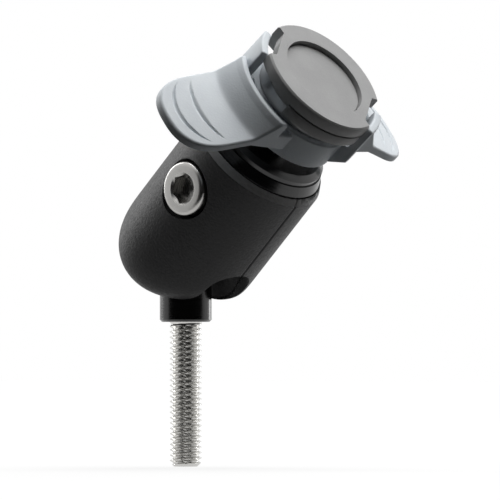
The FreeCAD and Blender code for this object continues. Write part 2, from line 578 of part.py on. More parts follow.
def lug(direction):
    """One lug: a sector that starts on the lever's ring and stands up in the puck's notch."""
    foot = LEVER_RADIUS - 0.2
    outline = [(foot, LUG_FOOT - (LUG_OUTER_RADIUS - foot)), (LUG_OUTER_RADIUS, LUG_FOOT),
               (LUG_OUTER_RADIUS, LUG_TOP - 0.5), (LUG_OUTER_RADIUS - 0.5, LUG_TOP),
               (LUG_INNER_RADIUS, LUG_TOP), (LUG_INNER_RADIUS, LEVER_TOP), (foot, LEVER_TOP)]
    return turned(outline, direction - LUG_HALF_ANGLE, 2 * LUG_HALF_ANGLE)


def lever():
    """The release lever: a sliding ring, two winged guards round the puck, and two lugs."""
    reach = WING_TIP_CENTRE + WING_TIP_LENGTH + 1
    slope = (WING_STEP_HEIGHT - WING_TIP_HEIGHT) / (WING_TIP_CENTRE + WING_TIP_LENGTH - WING_STEP_RADIUS)
    far = WING_STEP_HEIGHT - slope * (reach - WING_STEP_RADIUS)
    root = WING_STEP_HEIGHT - WING_THICKNESS
    wings = turned([
        (LEVER_BORE_RADIUS, root - 0.6), (LEVER_RADIUS, root - 0.6), (WING_STEP_RADIUS, root),
        (reach, far - WING_THICKNESS), (reach, far), (WING_STEP_RADIUS, WING_STEP_HEIGHT),
        (GUARD_OUTER_RADIUS, GUARD_TOP - 0.4), (GUARD_OUTER_RADIUS - 0.4, GUARD_TOP),
        (GUARD_INNER_RADIUS + 0.3, GUARD_TOP), (GUARD_INNER_RADIUS, GUARD_TOP - 0.3),
        (GUARD_INNER_RADIUS, GUARD_FLOOR), (LEVER_BORE_RADIUS, GUARD_FLOOR)]).common(wing_outline())
    ring = turned([(LEVER_BORE_RADIUS, LEVER_BOTTOM), (LEVER_RADIUS - 0.3, LEVER_BOTTOM),
                   (LEVER_RADIUS, LEVER_BOTTOM + 0.3), (LEVER_RADIUS, LEVER_TOP),
                   (LEVER_BORE_RADIUS, LEVER_TOP), (LEVER_BORE_RADIUS, RIB_TOP), (RIB_BORE_RADIUS, RIB_TOP),
                   (RIB_BORE_RADIUS, RIB_FLOOR), (LEVER_BORE_RADIUS, RIB_FLOOR)])
    body = ring.fuse(wings)
    shift = (-LUG_SHIFT, LUG_SHIFT)
    for direction, offset in zip(NOTCH_DIRECTIONS, shift):
        body = body.fuse(lug(direction + offset))
    return body


def return_spring():
    """The spring between the retainer's flange and the lever's rib."""
    return coil(RETURN_SPRING_RADIUS, RETURN_SPRING_WIRE, CUP_FOOT + 0.02, RIB_FLOOR - 0.02,
                RETURN_SPRING_TURNS)


add("stem_screw", STAND, stem_screw())
add("ball_collar", STAND, ball_collar())
add("front_half", ARM, arm_half(-1))
add("rear_half", ARM, arm_half(1))
add("clamp_screw", ARM, clamp_screw())
add("clamp_washer", ARM, clamp_washer())
add("clamp_nut", ARM, clamp_nut())
add("locating_pins", ARM, *locating_pins())
add("opening_spring", ARM, opening_spring())
add("friction_washer", ARM, friction_washer())
add("swivel_base", ARM, swivel_base())
add("swivel_ring", ARM, swivel_ring())
add("rim_seal", ARM, rim_seal())
add("ball_stud", ARM, ball_stud())
add("socket_cup", HEAD, socket_cup())
add("socket_retainer", HEAD, socket_retainer())
add("ball_pad", HEAD, ball_pad())
add("pad_spring", HEAD, pad_spring())
add("puck", HEAD, puck())
add("puck_screws", HEAD, *round_the_screws(puck_screw))
add("centre_cap", HEAD, centre_cap())
add("lever", HEAD, lever())
add("return_spring", HEAD, return_spring())

os.makedirs("parts", exist_ok=True)
for name, shape in nodes.items():
    shape.exportStep(os.path.join("parts", name + ".step"))
    box = shape.BoundBox
    print(f"{name:16s} {len(shape.Solids)} solid(s) valid {shape.isValid()} volume {shape.Volume:9.2f}"
          f"  x {box.XMin:6.1f}..{box.XMax:5.1f}  y {box.YMin:6.1f}..{box.YMax:5.1f}"
          f"  z {box.ZMin:6.1f}..{box.ZMax:5.1f}")
for name, frame in (("arm", ARM), ("head", HEAD)):
    print(name, "origin", frame.Base, "axis", frame.Rotation.multVec(AXIS),
          "y", frame.Rotation.multVec(FreeCAD.Vector(0, 1, 0)))
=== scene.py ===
import json
import logging
import math
from dataclasses import dataclass, field, replace
from enum import Enum
from typing import Optional

import bmesh
import bpy
import numpy as np
from mathutils import Matrix, Vector

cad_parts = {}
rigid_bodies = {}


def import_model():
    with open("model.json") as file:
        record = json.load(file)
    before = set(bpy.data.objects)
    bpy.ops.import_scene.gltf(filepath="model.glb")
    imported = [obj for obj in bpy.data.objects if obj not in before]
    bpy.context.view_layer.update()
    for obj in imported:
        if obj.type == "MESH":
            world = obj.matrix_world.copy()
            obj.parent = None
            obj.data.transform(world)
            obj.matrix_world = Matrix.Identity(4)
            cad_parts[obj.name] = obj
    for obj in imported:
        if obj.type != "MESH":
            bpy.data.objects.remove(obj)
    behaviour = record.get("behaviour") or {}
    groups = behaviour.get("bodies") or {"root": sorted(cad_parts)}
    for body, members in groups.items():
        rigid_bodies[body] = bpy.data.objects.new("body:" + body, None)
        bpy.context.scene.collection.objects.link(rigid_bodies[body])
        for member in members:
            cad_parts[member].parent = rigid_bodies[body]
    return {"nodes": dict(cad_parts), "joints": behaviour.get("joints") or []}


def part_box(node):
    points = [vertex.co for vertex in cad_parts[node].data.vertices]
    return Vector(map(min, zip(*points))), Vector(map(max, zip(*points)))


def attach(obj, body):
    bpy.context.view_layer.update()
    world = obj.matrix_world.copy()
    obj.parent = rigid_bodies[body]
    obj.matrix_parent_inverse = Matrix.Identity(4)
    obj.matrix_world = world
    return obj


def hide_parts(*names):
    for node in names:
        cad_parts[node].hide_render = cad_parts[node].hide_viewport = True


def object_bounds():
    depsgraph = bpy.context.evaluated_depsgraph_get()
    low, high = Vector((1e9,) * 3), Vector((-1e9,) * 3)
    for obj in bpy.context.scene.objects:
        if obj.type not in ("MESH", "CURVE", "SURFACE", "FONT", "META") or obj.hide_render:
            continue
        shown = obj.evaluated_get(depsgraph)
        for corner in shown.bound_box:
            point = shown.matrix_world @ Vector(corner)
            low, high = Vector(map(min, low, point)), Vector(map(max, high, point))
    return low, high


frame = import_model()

# The looks of a clamp-arm phone mount. Lengths are in millimetres here and become metres in the meshes.
# Two frames of their own serve the arm and the head: each has its origin on a ball's centre and +Z along
# the piece's axis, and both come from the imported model's joints.

LOG = logging.getLogger("mount")
CAD_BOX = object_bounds()
MM = 0.001
WELD = 2e-7              # metres: points of a new mesh that lie closer than this are one
SLIVER = 1e-7            # metres: shorter edges go, and so do the doubles in a copy of a CAD mesh
CURVE_SHARE = 0.45       # the most of a side that one rounded corner takes
ARM_Y = Vector((0.0, 1.0, 0.0))


# --- frames and small tools ------------------------
@dataclass(frozen=True)
class Frame:
    """A local frame: an origin in metres and three unit axes in the model's own axes."""

    origin: Vector
    x: Vector
    y: Vector
    z: Vector

    def place(self, points: np.ndarray) -> np.ndarray:
        """Takes local points to the model.

        Args:
            points: an array of (..., 3) local coordinates in millimetres.

        Returns:
            The same points in the model's frame, in metres.
        """
        axes = np.array([self.x, self.y, self.z])
        return np.array(self.origin) + MM * points @ axes

    def matrix(self) -> Matrix:
        """The 4 x 4 matrix that takes local metres to the model."""
        turn = Matrix((self.x, self.y, self.z)).transposed().to_4x4()
        return Matrix.Translation(self.origin) @ turn


def joint_of(name: str) -> dict:
    """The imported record's joint of that name."""
    return next(joint for joint in frame["joints"] if joint["name"] == name)


def make_frames() -> tuple[Frame, Frame, Frame]:
    """Works out the stand's, the arm's and the head's frames from the joints.

    Returns:
        The stand frame, the arm frame and the head frame.
    """
    stand = Frame(Vector((0, 0, 0)), Vector((1, 0, 0)), ARM_Y, Vector((0, 0, 1)))
    along = Vector(joint_of("head_swivel")["axis"]).normalized()
    arm = Frame(Vector(joint_of("arm_tilt")["pos_m"]), ARM_Y.cross(along), ARM_Y, along)
    up = -Vector(joint_of("lever_press")["axis"]).normalized()
    side = along.rotation_difference(up) @ ARM_Y
    head = Frame(Vector(joint_of("head_tilt")["pos_m"]), side.cross(up), side, up)
    return stand, arm, head


def clamp_axis() -> Frame:
    """Works out the clamp screw's frame.

    Returns:
        A frame with +Z along the screw's axis, out of the arm.
    """
    joint = joint_of("clamp_screw_turn")
    out = Vector(joint["axis"]).normalized()
    return Frame(Vector(joint["pos_m"]), ARM.x, out.cross(ARM.x), out)


STAND, ARM, HEAD = make_frames()
CLAMP = clamp_axis()


def grid_faces(rows: int, columns: int, wrap: bool = False) -> np.ndarray:
    """Quads over a grid of points counted row by row.

    Args:
        rows: how many rows of points there are.
        columns: how many points each row has.
        wrap: whether the last column joins the first.

    Returns:
        An array of (quads, 4) point numbers.
    """
    number = np.arange(rows * columns).reshape(rows, columns)
    if wrap:
        number = np.hstack([number, number[:, :1]])
    corners = (number[:-1, :-1], number[:-1, 1:], number[1:, 1:], number[1:, :-1])
    return np.stack([corner.ravel() for corner in corners], axis=1)


def rounded(corners: list[tuple[float, float]], radius: float, steps: int = 4) -> np.ndarray:
    """A closed outline whose corners are soft curves, each a parabola tangent to its two sides.

    Args:
        corners: the outline's corner points.
        radius: radius of the circle that touches both sides where a curve starts and ends, which is
            smaller where a side is short.
        steps: how many chords each curve has.

    Returns:
        An array of (points, 2).
    """
    outline = []
    points = np.array(corners, float)
    for before, corner, after in zip(np.roll(points, 1, 0), points, np.roll(points, -1, 0)):
        back, ahead = before - corner, after - corner
        short = CURVE_SHARE * min(np.linalg.norm(back), np.linalg.norm(ahead))
        back, ahead = back / np.linalg.norm(back), ahead / np.linalg.norm(ahead)
        half = math.acos(np.clip(back @ ahead, -1, 1)) / 2
        reach = min(radius / math.tan(half), short)
        t = np.linspace(0, 1, steps + 1)[:, None]
        start, end = corner + reach * back, corner + reach * ahead
        outline.append((1 - t) ** 2 * start + 2 * t * (1 - t) * corner + t ** 2 * end)
    return np.vstack(outline)


def edge_drop(distance: np.ndarray, radius: float) -> np.ndarray:
    """How far a surface falls towards its rim: a quarter circle over the last radius before the edge."""
    inside = 1 - np.clip(distance, 0, radius) / radius
    return radius * (1 - np.sqrt(1 - inside ** 2))


@dataclass
class Surface:
    """Points and faces on the way to becoming one piece."""

    points: np.ndarray
    faces: list[list[int]]


def stand_round(outlines: np.ndarray, angles: np.ndarray) -> np.ndarray:
    """Stands one outline at each angle round the local Z axis: x = r cos a, y = r sin a.

    Args:
        outlines: an array of (angles, points, 2) radii and heights.
        angles: the stations in degrees.

    Returns:
        An array of (angles, points, 3) local coordinates.
    """
    turn = np.radians(angles)[:, None]
    radius, height = outlines[..., 0], outlines[..., 1]
    return np.stack([radius * np.cos(turn), radius * np.sin(turn), height], -1)


def sweep_round(profile: np.ndarray, steps: int = 144) -> Surface:
    """Carries one closed (radius, height) outline all the way round the local Z axis.

    Args:
        profile: the outline's points.
        steps: how many stations the round has.

    Returns:
        The swept surface, which closes on itself.
    """
    angles = np.linspace(0, 360, steps, endpoint=False)
    points = stand_round(np.broadcast_to(profile, (steps, *profile.shape)), angles)
    faces = grid_faces(steps + 1, len(profile), wrap=True) % (steps * len(profile))
    return Surface(points.reshape(-1, 3), faces.tolist())


def to_mesh(name: str, surface: Surface, place: Frame) -> bpy.types.Mesh:
    """Makes a closed mesh: doubles merged, flat faces dropped and normals pointing outwards.

    Args:
        name: the mesh's name.
        surface: its points and faces in local millimetres.
        place: the frame that the points are in.

    Returns:
        The mesh, in the model's frame.
    """
    mesh = bpy.data.meshes.new(name)
    mesh.from_pydata(place.place(surface.points).tolist(), [], surface.faces)
    work = bmesh.new()
    work.from_mesh(mesh)
    bmesh.ops.remove_doubles(work, verts=work.verts, dist=WELD)
    bmesh.ops.dissolve_degenerate(work, edges=work.edges, dist=SLIVER)
    bmesh.ops.recalc_face_normals(work, faces=work.faces)
    work.to_mesh(mesh)
    work.free()
    return mesh


def put(name: str, data: bpy.types.ID) -> bpy.types.Object:
    """Adds an object to the scene.

    Args:
        name: its name.
        data: its mesh, lamp or camera.

    Returns:
        The new object.
    """
    item = bpy.data.objects.new(name, data)
    bpy.context.scene.collection.objects.link(item)
    return item


def add_piece(name: str, mesh: bpy.types.Mesh, body: str, material: bpy.types.Material,
              sharp: float = 35.0) -> bpy.types.Object:
    """Puts a finished mesh into the scene as one piece of the mount.

    Args:
        name: the piece's name.
        mesh: its mesh, in the model's frame.
        body: the CAD body that it rides on.
        material: its finish.
        sharp: edges that fold by more than this many degrees stay crisp.

    Returns:
        The new object.
    """
    piece = put(name, mesh)
    mesh.materials.clear()
    mesh.materials.append(material)
    mesh.shade_smooth()
    mesh.set_sharp_from_angle(angle=math.radians(sharp))
    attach(piece, body)
    LOG.info("piece %s: %d faces on %s", name, len(mesh.polygons), body)
    return piece


# --- finishes ------------------------
def linear(code: str) -> tuple[float, float, float, float]:
    """Turns an sRGB hex colour into the linear colour that shaders take."""
    channels = [int(code[i:i + 2], 16) / 255 for i in (1, 3, 5)]
    return tuple(c / 12.92 if c <= 0.04045 else ((c + 0.055) / 1.055) ** 2.4 for c in channels) + (1.0,)


def add_node(tree: bpy.types.NodeTree, kind: str, inputs: Optional[dict] = None,
             **settings: object) -> bpy.types.Node:
    """Adds one node with its settings, values and links.

    Args:
        tree: the node tree that it goes into.
        kind: the node's Blender type.
        inputs: socket name or number to a value, or to the output socket that feeds it.
        **settings: the node's own properties.

    Returns:
        The node.
    """
    node = tree.nodes.new(kind)
    for key, value in settings.items():
        setattr(node, key, value)
    for key, value in (inputs or {}).items():
        if isinstance(value, bpy.types.NodeSocket):
            tree.links.new(value, node.inputs[key])
        else:
            node.inputs[key].default_value = value
    return node


def empty_material(name: str) -> bpy.types.Material:
    """Makes a material with no nodes in it yet.

    Args:
        name: its name.

    Returns:
        The material.
    """
    made = bpy.data.materials.new(name)
    made.use_nodes = True
    made.node_tree.nodes.clear()
    return made


GRAIN_SPREAD = 1.2             # how many times its own scale a noise's grains lie apart
CELL_SPREAD = 1.4              # the same for the soft cells of a moulded grain
LINE_SPREAD = 2.0              # the same for the lines of drawn wire
LINE_SQUEEZE = 0.06            # those lines change this much slower along the wire than across it
PEBBLE_SHARE = 0.6             # brings the sum of cells and noise back to about 0 to 1
MOTTLE_BAND = (0.35, 0.65)     # the part of the slow noise that goes from one colour to the other
GLOSS_BAND = (0.3, 0.7)        # the part of the relief that goes from glossy to dull
BARE_HIGHLIGHT_BLEND = 0.08              # millimetres over which the lighter rim, machined metal with a painted highlight, begins


class Texture(Enum):
    """How a surface was made, which gives its fine relief."""

    BLASTED = "bead-blasted: a fine even grit"
    MOULDED = "moulded in a spark-eroded tool: soft pebbles"
    TURNED = "turned on a lathe: fine rings round the axis"
    DRAWN = "drawn through a die: faint lengthwise lines"


@dataclass(frozen=True)
class Finish:
    """One real finish: its colours, its gloss and the size of its relief."""

    name: str
    colour: str
    second_colour: str
    texture: Texture
    metallic: float
    roughness: tuple[float, float]
    relief_size: float                 # millimetres between grains or rings
    relief_height: float               # millimetres from low to high
    mottle_size: float = 6.0     # millimetres across the slow changes of colour and gloss
    specular: float = 0.5
    bare_highlight_from: Optional[float] = None    # height in millimetres above which the colour is painted lighter: machined metal, with a painted highlight
    # that lighter colour: part machined metal, part painted highlight
    bare_highlight_colour: str = "#a2a2a2"

    def grain(self, tree: bpy.types.NodeTree, place: bpy.types.NodeSocket) -> bpy.types.NodeSocket:
        """Adds the nodes of the relief.

        Args:
            tree: the material's node tree.
            place: local position in metres.

        Returns:
            A socket with the relief's height from 0 to 1.
        """
        per_metre = 1 / (self.relief_size * MM)
        if self.texture is Texture.DRAWN:
            stretched = add_node(tree, "ShaderNodeMapping", {
                "Vector": place, "Scale": (1.0, 1.0, LINE_SQUEEZE)})
            return add_node(tree, "ShaderNodeTexNoise", {
                "Vector": stretched.outputs[0], "Scale": per_metre / LINE_SPREAD}).outputs[0]
        if self.texture is Texture.TURNED:
            split = add_node(tree, "ShaderNodeSeparateXYZ", {0: place})
            flat = add_node(tree, "ShaderNodeCombineXYZ", {0: split.outputs[0], 1: split.outputs[1]})
            radius = add_node(tree, "ShaderNodeVectorMath", {0: flat.outputs[0]}, operation="LENGTH")
            depth = add_node(tree, "ShaderNodeMath", {0: radius.outputs["Value"], 1: split.outputs[2]},
                             operation="ADD")
            return add_node(tree, "ShaderNodeTexNoise", {
                "W": depth.outputs[0], "Scale": per_metre, "Detail": 2.0}, noise_dimensions="1D").outputs[0]
        fine = add_node(tree, "ShaderNodeTexNoise", {
            "Vector": place, "Scale": per_metre / GRAIN_SPREAD, "Detail": 3.0, "Roughness": 0.55})
        if self.texture is Texture.BLASTED:
            return fine.outputs[0]
        cells = add_node(tree, "ShaderNodeTexVoronoi", {"Vector": place, "Scale": per_metre / CELL_SPREAD},
                         feature="SMOOTH_F1")
        both = add_node(tree, "ShaderNodeMath", {0: cells.outputs["Distance"], 1: fine.outputs[0]},
                        operation="ADD")
        return add_node(tree, "ShaderNodeMath", {0: both.outputs[0], 1: PEBBLE_SHARE},
                        operation="MULTIPLY").outputs[0]

    def material(self, place: Frame, suffix: str) -> bpy.types.Material:
        """Builds the material with its pattern centred on one frame.

        Args:
            place: the frame whose Z axis the rings or lines follow.
            suffix: ends the material's name, for the frame.

        Returns:
            The material.
        """
        made = empty_material(f"{self.name}_{suffix}")
        tree = made.node_tree
        back = place.matrix().inverted()
        where = add_node(tree, "ShaderNodeTexCoord")
        local = add_node(tree, "ShaderNodeMapping", {
            "Vector": where.outputs["Object"], "Location": back.to_translation(),
            "Rotation": back.to_euler()})
        height = self.grain(tree, local.outputs[0])
        mottle = add_node(tree, "ShaderNodeTexNoise", {
            "Vector": local.outputs[0], "Scale": 1 / (self.mottle_size * MM), "Detail": 4.0})
        blend = add_node(tree, "ShaderNodeMapRange", {
            "Value": mottle.outputs[0], "From Min": MOTTLE_BAND[0], "From Max": MOTTLE_BAND[1]})
        shade = add_node(tree, "ShaderNodeMix", {
            "Factor": blend.outputs[0], 6: linear(self.colour),
            7: linear(self.second_colour)}, data_type="RGBA")
        colour = shade.outputs[2]
        # Above that height the colour goes lighter: machined metal, and a painted highlight on the arm's rim
        # chamfer.
        if self.bare_highlight_from is not None:
            split = add_node(tree, "ShaderNodeSeparateXYZ", {0: local.outputs[0]})
            bare_highlight_share = add_node(tree, "ShaderNodeMapRange", {
                "Value": split.outputs[2], "From Min": self.bare_highlight_from * MM,
                "From Max": (self.bare_highlight_from + BARE_HIGHLIGHT_BLEND) * MM})
            edge = add_node(tree, "ShaderNodeMix", {
                "Factor": bare_highlight_share.outputs[0], 6: colour, 7: linear(self.bare_highlight_colour)}, data_type="RGBA")
            colour = edge.outputs[2]
        gloss = add_node(tree, "ShaderNodeMapRange", {
            "Value": height, "From Min": GLOSS_BAND[0],
            "From Max": GLOSS_BAND[1], "To Min": self.roughness[0], "To Max": self.roughness[1]})
        relief = add_node(tree, "ShaderNodeBump", {
            "Height": height, "Strength": 1.0, "Distance": self.relief_height * MM})
        shader = add_node(tree, "ShaderNodeBsdfPrincipled", {
            "Base Color": colour, "Roughness": gloss.outputs[0], "Normal": relief.outputs[0],
            "Metallic": self.metallic, "Specular IOR Level": self.specular})
        add_node(tree, "ShaderNodeOutputMaterial", {"Surface": shader.outputs[0]})
        return made


# Black anodised aluminium, bead-blasted before the bath: near-black, with a soft wide sheen and a fine grit.
# The real grit is about 0.1 mm; it is drawn at about 0.4 mm so that it shows.
BLASTED_BLACK = Finish("blasted_black_anodised_aluminium", "#151516", "#1a1a1b", Texture.BLASTED, 0.0,
                       (0.44, 0.6), 0.35, 0.09, specular=0.27)
# The same metal as turned: smoother and glossier, with lathe rings. Real rings are about 0.1 mm apart; here
# and on the other turned metals they are drawn two or three times as far apart, so that they show.
TURNED_BLACK = Finish("turned_black_anodised_aluminium", "#0d0d0e", "#131314", Texture.TURNED, 0.0,
                      (0.16, 0.26), 0.22, 0.004, specular=0.5)
# Plain turned aluminium of the hidden cup and disc: pale, satin, ringed.
TURNED_GREY = Finish("turned_aluminium", "#a9aaac", "#b9babb", Texture.TURNED, 1.0, (0.28, 0.4),
                     0.25, 0.006)
# Stainless steel screws, rolled and polished: bright, with faint rings.
STAINLESS = Finish("polished_stainless_steel", "#c9c8c5", "#d3d2cf", Texture.TURNED, 1.0, (0.2, 0.32),
                   0.3, 0.003)
# The clamp screw's steel as machined: the same metal, duller and a little darker.
MACHINED_STAINLESS = Finish("machined_stainless_steel", "#a4a3a1", "#b0afac", Texture.TURNED, 1.0,
                            (0.24, 0.36), 0.3, 0.004)
# Spring wire, drawn: a little darker than the screws, with faint lines drawn wider than the real ones.
SPRING_WIRE = Finish("drawn_spring_steel", "#8f8f90", "#9d9d9e", Texture.DRAWN, 1.0, (0.25, 0.38),
                     0.12, 0.003)
# Blue-grey glass-filled nylon of the lever: soft pebbled grain, dull gloss. The real pebbles are about
# 0.1 mm; here and on the other mouldings they are drawn at about 0.3 mm so that they show.
GREY_NYLON = Finish("moulded_grey_nylon", "#cdd3d8", "#d4dade", Texture.MOULDED, 0.0, (0.42, 0.58),
                    0.28, 0.02, specular=0.28)
# Dark nylon of the lock plate and its cap: the same tool finish in a darker grey.
DARK_NYLON = Finish("moulded_dark_nylon", "#939393", "#9a9a9a", Texture.MOULDED, 0.0, (0.45, 0.6),
                    0.26, 0.02, specular=0.35)
# White acetal of the hidden pad and washer: waxy and smooth.
WHITE_ACETAL = Finish("moulded_white_acetal", "#deded8", "#e6e6e0", Texture.MOULDED, 0.0, (0.3, 0.42),
                      0.4, 0.006)
# Black rubber of the rim seal.
BLACK_RUBBER = Finish("moulded_black_rubber", "#0b0b0b", "#121212", Texture.MOULDED, 0.0, (0.6, 0.75),
                      0.3, 0.01, specular=0.3)


# --- arm ------------------------
@dataclass
class Arm:
    """The split arm: both halves keep their CAD hollows and get one smooth blasted outside."""

    radius: float = 13.37
    end_centre: float = 6.1            # centre of the round end above the ball's centre
    squareness: float = 5.2            # power of the round end's outline: 2 is round, more is squarer
    rim_chamfer: tuple[float, float] = (0.65, 1.4)  # its width and height
    rim_gap: float = 0.02              # how far the rim stays under the CAD rim
    seam_width: float = 0.3            # each half's bevel along the seam
    seam_depth: float = 0.3
    seam_columns: tuple[float, ...] = (0.0, 0.1, 0.2, 0.3, 0.45, 0.7, 1.1)     # half widths that hold its V
    side_columns: int = 50             # how many more there are from the middle out to those
    bottom_rows: int = 60
    seam_rows: tuple[float, ...] = (89.2, 89.6, 89.8, 90.0)     # degrees: rows that crowd at the bottom seam
    edge_row: float = 0.12             # rows that hold the chamfer's lower edge, above and below it
    half_fold: float = 28.0            # folds of more degrees than this stay crisp on a half
    skin_fold: float = 50.0            # the same on the skin that gives its normals
    normal_reach: float = 0.02         # how near the skin a face lies when it takes the skin's normals
    halves: dict[str, str] = field(
        default_factory=lambda: {"front_half": "arm_front", "rear_half": "arm_rear"})

    def rim(self) -> float:
        """Height of the arm's rim on its own axis, a hair under the CAD rim."""
        corners = np.array([tuple(vertex.co) for vertex in frame["nodes"]["front_half"].data.vertices])
        return float(((corners - np.array(ARM.origin)) @ np.array(ARM.z)).max()) / MM - self.rim_gap

    def skin(self) -> Surface:
        """The outside of the whole arm.

        For a place x = R sin b across the arm, the section in Y and Z is a loop of half width R cos b:
        straight sides from the rim down to the round end's centre, then half a superellipse below it.
        The rim is chamfered, and a shallow V is pressed in where the halves meet, at Y = 0.

        Returns:
            The closed surface in the arm's frame.
        """
        rim = self.rim()
        across = np.degrees(np.arccos(np.array(self.seam_columns) / self.radius))
        side = np.concatenate([np.linspace(0, across[-1], self.side_columns, endpoint=False), across[::-1]])
        turn = np.radians(np.concatenate([-side[:0:-1], side]))[:, None]
        bottom = np.radians(np.concatenate([np.linspace(0, 90, self.bottom_rows)[1:-1], self.seam_rows]))
        power = 2 / self.squareness
        height = rim - self.end_centre
        chamfer_width, chamfer_height = self.rim_chamfer
        foot = height - chamfer_height
        straight = np.array([height, foot + self.edge_row, foot, foot - self.edge_row,
                             0.75 * height, 0.5 * height, 0.25 * height, 0])
        deep = np.concatenate([straight, -np.sin(bottom) ** power])
        wide = np.concatenate([np.ones(len(straight)), np.cos(bottom) ** power])
        loop_y = np.concatenate([wide, -wide[-2::-1]])
        loop_z = np.concatenate([deep, deep[-2::-1]])
        half = self.radius * np.cos(turn)
        x = self.radius * np.sin(turn) * np.ones_like(loop_y)
        y = half * loop_y
        z = np.where(loop_z < 0, half * loop_z, loop_z * np.ones_like(half))
        in_chamfer = np.clip((z - height + chamfer_height) / chamfer_height, 0, 1)
        taper = 1 - chamfer_width / self.radius * in_chamfer
        seam = 1 - self.seam_depth / self.radius * np.clip(1 - np.abs(y) / self.seam_width, 0, 1)
        x, y = x * taper * seam, y * taper
        z = np.where(z < 0, z * seam, z) + self.end_centre
        points = np.stack([x, y, z], -1)
        return Surface(points.reshape(-1, 3), grid_faces(*points.shape[:2], wrap=True).tolist())

    def build(self) -> None:
        """Cuts the smooth outside to each CAD half and puts both halves in place."""
        # The rim's chamfer and top are painted lighter: machined metal, and a painted highlight on the
        # chamfer.
        finish = replace(BLASTED_BLACK, bare_highlight_from=self.rim() - self.rim_chamfer[1]).material(ARM, "arm")
        skin = put("arm_skin", to_mesh("arm_skin", self.skin(), ARM))
        for node, name in self.halves.items():
            inside = put(name + "_work", frame["nodes"][node].data.copy())
            work = bmesh.new()
            work.from_mesh(inside.data)
            bmesh.ops.remove_doubles(work, verts=work.verts, dist=SLIVER)
            work.to_mesh(inside.data)
            work.free()
            cut = inside.modifiers.new("outside", "BOOLEAN")
            cut.operation = "INTERSECT"
            cut.solver = "MANIFOLD"
            cut.object = skin
            bpy.context.view_layer.update()
            shaped = inside.evaluated_get(bpy.context.evaluated_depsgraph_get())
            mesh = bpy.data.meshes.new_from_object(shaped)
            bpy.data.objects.remove(inside)
            piece = add_piece(name, mesh, "arm", finish, sharp=self.half_fold)
            self.smooth_like(piece, skin)
            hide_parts(node)
        bpy.data.objects.remove(skin)

    def smooth_like(self, piece: bpy.types.Object, skin: bpy.types.Object) -> None:
        """Gives the outside of a half the skin's own normals, so that the long cut faces shade evenly.

        Args:
            piece: the half.
            skin: the smooth outside that it was cut to.
        """
        skin.data.shade_smooth()
        skin.data.set_sharp_from_angle(angle=math.radians(self.skin_fold))
        transfer = piece.modifiers.new("normals", "DATA_TRANSFER")
        transfer.object = skin
        transfer.use_loop_data = True
        transfer.data_types_loops = {"CUSTOM_NORMAL"}
        transfer.loop_mapping = "POLYINTERP_NEAREST"
        transfer.use_max_distance = True
        transfer.max_distance = self.normal_reach * MM
        bpy.context.view_layer.update()
        mesh = bpy.data.meshes.new_from_object(piece.evaluated_get(bpy.context.evaluated_depsgraph_get()))
        piece.modifiers.clear()
        piece.data = mesh


